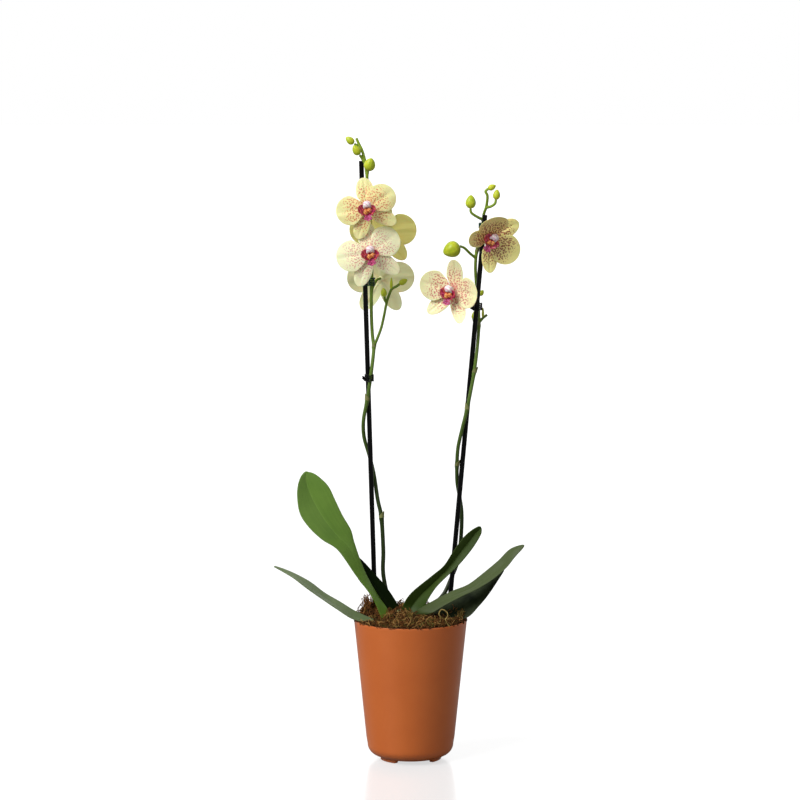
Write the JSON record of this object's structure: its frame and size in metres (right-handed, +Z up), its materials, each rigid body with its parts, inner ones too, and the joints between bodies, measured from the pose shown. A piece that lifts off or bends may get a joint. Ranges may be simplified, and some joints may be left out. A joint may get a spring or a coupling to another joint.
{
  "type": "potted moth orchid",
  "caption": "Flowering moth orchid with staked flower spikes, strap leaves and moss in a tapered plastic pot that stands on a flat base.",
  "frame": {"origin": "on the pot's axis, on the flat pad under its floor, level with the surface that the pot stands on", "axes": "+Z up the pot's axis to the buds, -Y to the front from which most flowers are seen, +X to the right as seen from the front"},
  "size_m": [0.2657, 0.12, 0.6626],
  "materials": {
    "terracotta_plastic": "satin moulded plastic in terracotta orange",
    "bark_mix": "damp bark potting mix",
    "dry_moss": "curly dried moss, brown with tan strands",
    "black_plastic": "glossy black coated rod and clip",
    "green_plastic": "dark green moulded clip",
    "leaf_green": "smooth fleshy leaf with a soft waxy sheen",
    "stem_green": "smooth green stem, pale at its nodes",
    "bud_green": "yellow-green waxy bud",
    "petal_cream": "pale yellow petal with fine pink-red speckles",
    "lip_maroon": "maroon and pink lip with a pale column"
  },
  "bodies": {
    "root": {"pot": "terracotta_plastic", "potting_mix": "bark_mix", "moss": "dry_moss", "crown": "stem_green", "stake_left": "black_plastic", "stake_right": "black_plastic", "clip_left_upper": "green_plastic", "clip_left_lower": "black_plastic", "clip_right_upper": "green_plastic", "clip_right_lower": "black_plastic", "leaf_left_upright": "leaf_green", "leaf_left_rear": "leaf_green", "leaf_left_low": "leaf_green", "leaf_right_upright": "leaf_green", "leaf_right_long": "leaf_green", "leaf_right_low": "leaf_green", "flower_spike_left": "stem_green", "flower_spike_right": "stem_green", "bud_left_terminal": "bud_green", "bud_left_second": "bud_green", "bud_left_third": "bud_green", "bud_right_large": "bud_green", "bud_right_upper": "bud_green", "bud_right_top": "bud_green", "flower_1_dorsal_sepal": "petal_cream", "flower_1_lateral_sepal_left": "petal_cream", "flower_1_lateral_sepal_right": "petal_cream", "flower_1_petal_left": "petal_cream", "flower_1_petal_right": "petal_cream", "flower_1_lip": "lip_maroon", "flower_2_dorsal_sepal": "petal_cream", "flower_2_lateral_sepal_left": "petal_cream", "flower_2_lateral_sepal_right": "petal_cream", "flower_2_petal_left": "petal_cream", "flower_2_petal_right": "petal_cream", "flower_2_lip": "lip_maroon", "flower_3_dorsal_sepal": "petal_cream", "flower_3_lateral_sepal_left": "petal_cream", "flower_3_lateral_sepal_right": "petal_cream", "flower_3_petal_left": "petal_cream", "flower_3_petal_right": "petal_cream", "flower_3_lip": "lip_maroon", "flower_4_dorsal_sepal": "petal_cream", "flower_4_lateral_sepal_left": "petal_cream", "flower_4_lateral_sepal_right": "petal_cream", "flower_4_petal_left": "petal_cream", "flower_4_petal_right": "petal_cream", "flower_4_lip": "lip_maroon", "flower_5_dorsal_sepal": "petal_cream", "flower_5_lateral_sepal_left": "petal_cream", "flower_5_lateral_sepal_right": "petal_cream", "flower_5_petal_left": "petal_cream", "flower_5_petal_right": "petal_cream", "flower_5_lip": "lip_maroon", "flower_6_dorsal_sepal": "petal_cream", "flower_6_lateral_sepal_left": "petal_cream", "flower_6_lateral_sepal_right": "petal_cream", "flower_6_petal_left": "petal_cream", "flower_6_petal_right": "petal_cream", "flower_6_lip": "lip_maroon"}
  },
  "joints": []
}
